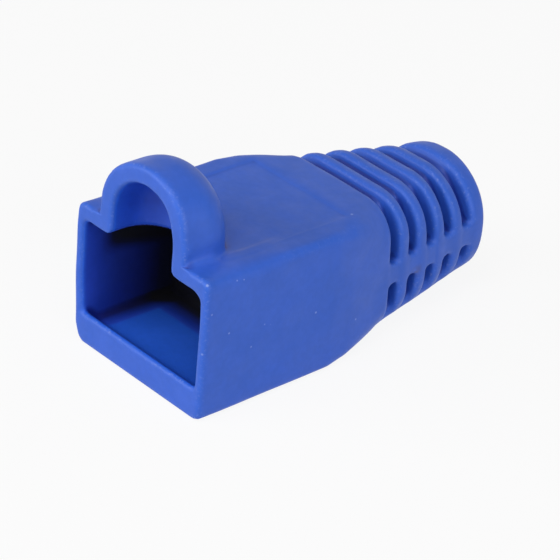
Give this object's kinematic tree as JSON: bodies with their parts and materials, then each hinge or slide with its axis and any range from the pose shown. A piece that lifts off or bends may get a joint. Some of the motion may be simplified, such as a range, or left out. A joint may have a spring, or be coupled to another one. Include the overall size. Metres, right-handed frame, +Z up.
{
  "type": "strain relief boot",
  "caption": "Slide-on strain relief boot for a modular network plug: square sleeve with an arched latch hood and a ribbed tapering tail around the cable.",
  "frame": {"origin": "under the middle of the boot's length and width, on the plane of the sleeve's flat underside", "axes": "+Y along the cable from the plug mouth to the tail, +Z up through the latch hood, +X across, to the right as seen from the mouth"},
  "size_m": [0.0138, 0.0292, 0.0166],
  "materials": {
    "boot": "moulded soft vinyl, satin"
  },
  "bodies": {
    "root": {"boot": "boot"}
  },
  "joints": []
}
